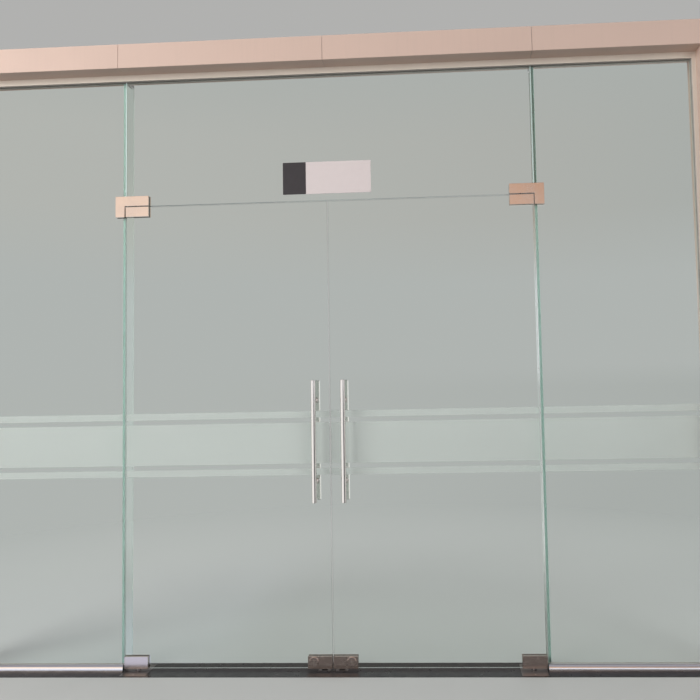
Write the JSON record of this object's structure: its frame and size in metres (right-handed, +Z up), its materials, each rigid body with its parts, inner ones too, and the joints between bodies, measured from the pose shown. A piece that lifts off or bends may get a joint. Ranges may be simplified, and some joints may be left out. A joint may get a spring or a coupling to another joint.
{
  "type": "glass entrance door",
  "caption": "Double-leaf frameless glass entrance door with side panes, fins, overpanel, patch fittings, floor springs, floor locks, pull handles and a clad frame.",
  "frame": {"origin": "middle of the underside of the frame, below the middle plane of the glass", "axes": "+X along the facade, to the right seen from outside, +Y indoors, +Z up"},
  "size_m": [3.968, 0.208, 3.2],
  "materials": {
    "dark_stone": "honed dark granite",
    "tube_steel": "zinc grey primer",
    "casing_sheet": "satin warm rose coated sheet",
    "channel": "pale coated aluminium",
    "polished_steel": "polished stainless steel",
    "seal": "soft beige silicone",
    "clear_silicone": "clear silicone over glass edges",
    "gasket": "dark fibre gasket",
    "block": "hard plastic",
    "clear_glass": "clear toughened glass with a green tint",
    "frosted_film": "frosted vinyl film",
    "patch_steel": "satin stainless steel",
    "clamp_metal": "cast aluminium",
    "machined_steel": "machined steel",
    "bush_bronze": "sintered bronze",
    "spring_iron": "painted cast iron",
    "cylinder_metal": "plated brass",
    "handle_steel": "polished stainless tube"
  },
  "bodies": {
    "root": {"bottom_rails": "polished_steel", "corner_gaskets": "gasket", "edge_joints": "clear_silicone", "fin_shoes": "polished_steel", "floor_boxes": "tube_steel", "floor_covers": "patch_steel", "floor_springs": "spring_iron", "frame_screws": "machined_steel", "frame_seals": "seal", "glass_fins": "clear_glass", "head_beam": "tube_steel", "head_casing": "casing_sheet", "head_channel": "channel", "jamb_casings": "casing_sheet", "jamb_channels": "channel", "keeper_plates": "patch_steel", "left_corner_clamp": "clamp_metal", "left_corner_covers": "patch_steel", "left_side_glass": "clear_glass", "overpanel_glass": "clear_glass", "pivot_pins": "machined_steel", "right_corner_clamp": "clamp_metal", "right_corner_covers": "patch_steel", "right_side_glass": "clear_glass", "setting_blocks": "block", "side_film": "frosted_film", "side_posts": "tube_steel", "sill": "dark_stone"},
    "left_leaf": {"left_leaf_glass": "clear_glass", "left_leaf_film": "frosted_film", "left_top_covers": "patch_steel", "left_top_clamp": "clamp_metal", "left_top_bush": "bush_bronze", "left_bottom_covers": "patch_steel", "left_bottom_clamp": "clamp_metal", "left_spindle": "machined_steel", "left_lock_covers": "patch_steel", "left_lock_case": "clamp_metal", "left_outer_handle": "handle_steel", "left_inner_handle": "handle_steel", "left_leaf_gaskets": "gasket", "left_leaf_screws": "machined_steel"},
    "left_bolt": {"left_lock_bolt": "machined_steel"},
    "left_cylinder": {"left_lock_cylinder": "cylinder_metal"},
    "right_leaf": {"right_leaf_glass": "clear_glass", "right_leaf_film": "frosted_film", "right_top_covers": "patch_steel", "right_top_clamp": "clamp_metal", "right_top_bush": "bush_bronze", "right_bottom_covers": "patch_steel", "right_bottom_clamp": "clamp_metal", "right_spindle": "machined_steel", "right_lock_covers": "patch_steel", "right_lock_case": "clamp_metal", "right_outer_handle": "handle_steel", "right_inner_handle": "handle_steel", "right_leaf_gaskets": "gasket", "right_leaf_screws": "machined_steel"},
    "right_bolt": {"right_lock_bolt": "machined_steel"},
    "right_cylinder": {"right_lock_cylinder": "cylinder_metal"}
  },
  "joints": [
    {"name": "left_leaf_swing", "type": "hinge", "parent": "root", "child": "left_leaf", "pos_m": [-0.975, 0, 0.06], "axis": [0, 0, -1], "range_deg": [-90, 90], "stiffness_Nm_per_rad": 15},
    {"name": "left_lock_turn", "type": "hinge", "parent": "left_leaf", "child": "left_cylinder", "pos_m": [-0.093, 0, 0.104], "axis": [0, -1, 0], "range_deg": [0, 90]},
    {"name": "left_bolt_throw", "type": "slide", "parent": "left_leaf", "child": "left_bolt", "axis": [0, 0, -1], "range_m": [0, 0.025]},
    {"name": "right_leaf_swing", "type": "hinge", "parent": "root", "child": "right_leaf", "pos_m": [0.975, 0, 0.06], "axis": [0, 0, 1], "range_deg": [-90, 90], "stiffness_Nm_per_rad": 15},
    {"name": "right_lock_turn", "type": "hinge", "parent": "right_leaf", "child": "right_cylinder", "pos_m": [0.093, 0, 0.104], "axis": [0, 1, 0], "range_deg": [0, 90]},
    {"name": "right_bolt_throw", "type": "slide", "parent": "right_leaf", "child": "right_bolt", "axis": [0, 0, -1], "range_m": [0, 0.025]}
  ],
  "couplings": [
    {"joint": "left_lock_turn", "follows": "left_bolt_throw", "rad_per_m": 62.8},
    {"joint": "right_lock_turn", "follows": "right_bolt_throw", "rad_per_m": 62.8}
  ]
}
